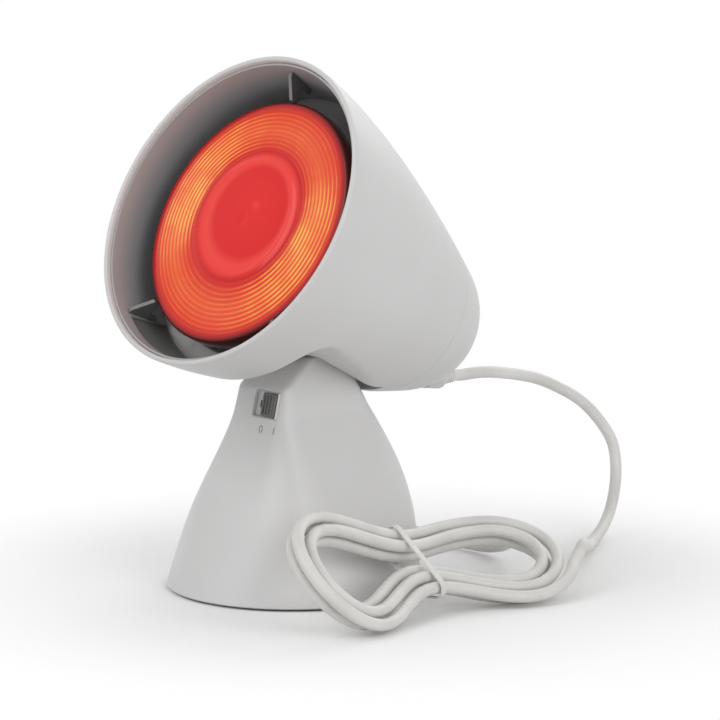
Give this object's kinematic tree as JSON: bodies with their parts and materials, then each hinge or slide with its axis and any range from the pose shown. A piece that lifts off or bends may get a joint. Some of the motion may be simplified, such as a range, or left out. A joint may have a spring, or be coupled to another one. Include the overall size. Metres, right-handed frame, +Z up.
{
  "type": "infrared heat therapy lamp",
  "caption": "Table lamp for heat therapy: a bell shaped head with a red reflector bulb tilts on the neck of a weighted flared foot; slide switch in the neck, tied mains lead.",
  "frame": {"origin": "middle of the rubber pad's underside, on the table", "axes": "+Z up; the bulb looks along -Y; +X to the lamp's left as it faces the user; the tilt axis runs along X"},
  "size_m": [0.2253, 0.2966, 0.2539],
  "materials": {
    "white_plastic": "moulded, satin",
    "grey_plastic": "moulded, satin",
    "dark_plastic": "moulded, matt",
    "rubber": "matt",
    "weight_iron": "as cast",
    "steel": "zinc plated",
    "spring_steel": "bright",
    "brass": "bright",
    "ceramic": "glazed",
    "red_glass": "pressed, red, ringed",
    "mirrored_glass": "silvered inside",
    "dark_glass": "black insulator glass",
    "cord_vinyl": "soft vinyl, off-white"
  },
  "bodies": {
    "foot": {"foot_shell": "white_plastic", "floor_plate": "white_plastic", "rubber_pad": "rubber", "foot_weight": "weight_iron", "floor_screws": "steel", "hinge_frame": "steel", "frame_screws": "steel", "hinge_pin": "steel", "friction_washers": "brass", "switch_bezel": "white_plastic", "switch_body": "dark_plastic", "switch_terminals": "brass", "cord_drop": "cord_vinyl", "cord_hank": "cord_vinyl", "hank_tie": "cord_vinyl", "cord_tail": "cord_vinyl", "plug_body": "cord_vinyl", "plug_pins": "brass"},
    "knob": {"switch_knob": "dark_plastic"},
    "head": {"head_shell": "white_plastic", "rear_cap": "white_plastic", "cap_screws": "steel", "inner_sleeve": "grey_plastic", "bulb_clips": "spring_steel", "bulb_face": "red_glass", "bulb_bowl": "mirrored_glass", "bulb_cap": "brass", "bulb_insulator": "dark_glass", "bulb_contact": "brass", "bulb_filament": "steel", "lamp_holder": "ceramic", "holder_sleeve": "brass", "holder_contact": "brass", "holder_bracket": "steel", "holder_screws": "steel", "hinge_lug": "steel", "lug_screws": "steel", "cord_gland": "cord_vinyl", "terminal_block": "ceramic", "terminal_screws": "brass"}
  },
  "joints": [
    {"name": "head_tilt", "type": "hinge", "parent": "foot", "child": "head", "pos_m": [0, 0.006, 0.0915], "axis": [-1, 0, 0], "range_deg": [-28, 12], "deforming": ["cord_drop"]},
    {"name": "knob_slide", "type": "slide", "parent": "foot", "child": "knob", "axis": [1, 0, 0], "range_m": [-0.006, 0]}
  ]
}
